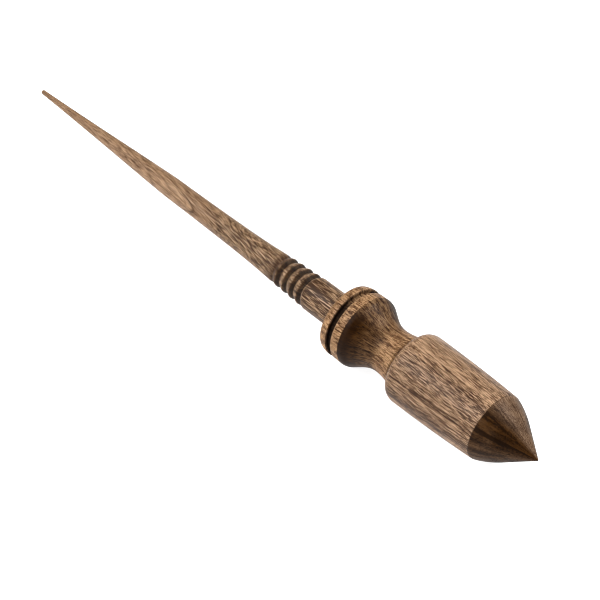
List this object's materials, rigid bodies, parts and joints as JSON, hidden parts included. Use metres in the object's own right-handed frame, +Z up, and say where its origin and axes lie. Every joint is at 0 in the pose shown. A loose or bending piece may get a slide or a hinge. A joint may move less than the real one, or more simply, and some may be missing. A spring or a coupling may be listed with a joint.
{
  "type": "drop spindle",
  "caption": "Turned walnut hand spindle with a long tapering shaft, beads, a grooved bell collar, a barrel weight and a pointed conical foot.",
  "frame": {"origin": "middle of the spindle's length, on the surface that it lies on", "axes": "+X along the spindle's axis towards the foot's point, +Y across, +Z up"},
  "size_m": [0.3, 0.03, 0.03],
  "materials": {
    "shaft": "oiled satin walnut",
    "whorl_head": "oiled satin walnut",
    "barrel": "oiled satin walnut",
    "foot_point": "oiled satin walnut, darker where the cone cuts across the grain"
  },
  "bodies": {
    "whorl": {"foot_point": "foot_point", "barrel": "barrel", "whorl_head": "whorl_head"},
    "shaft": {"shaft": "shaft"}
  },
  "joints": [
    {"name": "shaft_pull", "type": "slide", "parent": "whorl", "child": "shaft", "axis": [-1, 0, 0], "range_m": [0, 0.03]}
  ]
}
